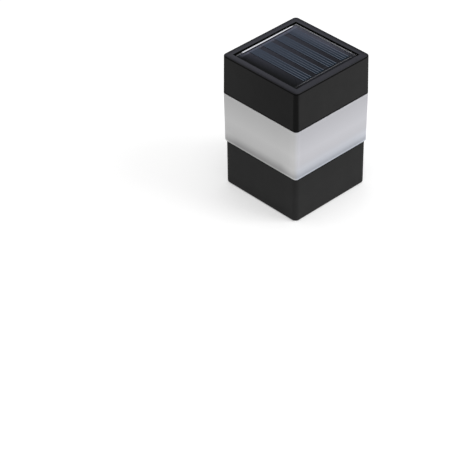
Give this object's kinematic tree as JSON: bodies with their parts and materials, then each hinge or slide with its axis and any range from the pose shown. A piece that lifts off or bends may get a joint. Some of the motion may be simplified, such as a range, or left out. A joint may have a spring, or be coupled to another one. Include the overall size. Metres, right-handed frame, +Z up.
{
  "type": "fence light",
  "caption": "Square solar lamp that caps a fence post: black collar, frosted diffuser and a lift-off head with a solar panel on top.",
  "frame": {"origin": "centre of the collar's lower rim, the lowest point of the light, on the post's axis", "axes": "+Z up along the post; X along the fence; -Y faces across the fence, to the front"},
  "size_m": [0.065, 0.065, 0.0956],
  "materials": {
    "black_plastic": "satin moulded",
    "frosted_plastic": "frosted, lets light through",
    "white_plastic": "satin moulded",
    "foam_and_seal": "matte",
    "panel_board": "satin",
    "silicon": "dark blue with fine silver lines",
    "clear_resin": "clear, glossy",
    "steel": "zinc plated",
    "contact_metal": "nickel plated",
    "board_green": "solder mask",
    "chip_black": "matte",
    "copper_winding": "enamelled wire",
    "lamp_epoxy": "clear, glossy",
    "cell_sleeve": "printed plastic sleeve, bare of words",
    "lead_red": "smooth insulation",
    "lead_black": "smooth insulation"
  },
  "bodies": {
    "base": {"base_collar": "black_plastic", "diffuser": "frosted_plastic", "collar_screws": "steel", "head_seal": "foam_and_seal"},
    "head": {"top_housing": "black_plastic", "panel_tape": "foam_and_seal", "panel_backing": "panel_board", "solar_cells": "silicon", "cell_ribbons": "contact_metal", "panel_resin": "clear_resin", "lamp_chassis": "white_plastic", "chassis_screws": "steel", "circuit_board": "board_green", "board_screws": "steel", "led_lamps": "lamp_epoxy", "led_legs": "contact_metal", "driver_chip": "chip_black", "inductor": "copper_winding", "switch_case": "steel", "battery": "cell_sleeve", "positive_contact": "contact_metal", "negative_contact": "contact_metal", "contact_spring": "contact_metal", "panel_lead_red": "lead_red", "panel_lead_black": "lead_black", "battery_lead_red": "lead_red", "battery_lead_black": "lead_black"},
    "knob": {"switch_knob": "white_plastic"},
    "cover": {"battery_cover": "white_plastic"}
  },
  "joints": [
    {"name": "head_lift", "type": "slide", "parent": "base", "child": "head", "axis": [0, 0, 1], "range_m": [0, 0.04]},
    {"name": "cover_hinge", "type": "hinge", "parent": "head", "child": "cover", "pos_m": [0, 0.00865, 0.0694], "axis": [-1, 0, 0], "range_deg": [0, 95]},
    {"name": "switch_slide", "type": "slide", "parent": "head", "child": "knob", "axis": [0, 1, 0], "range_m": [0, 0.002]}
  ]
}
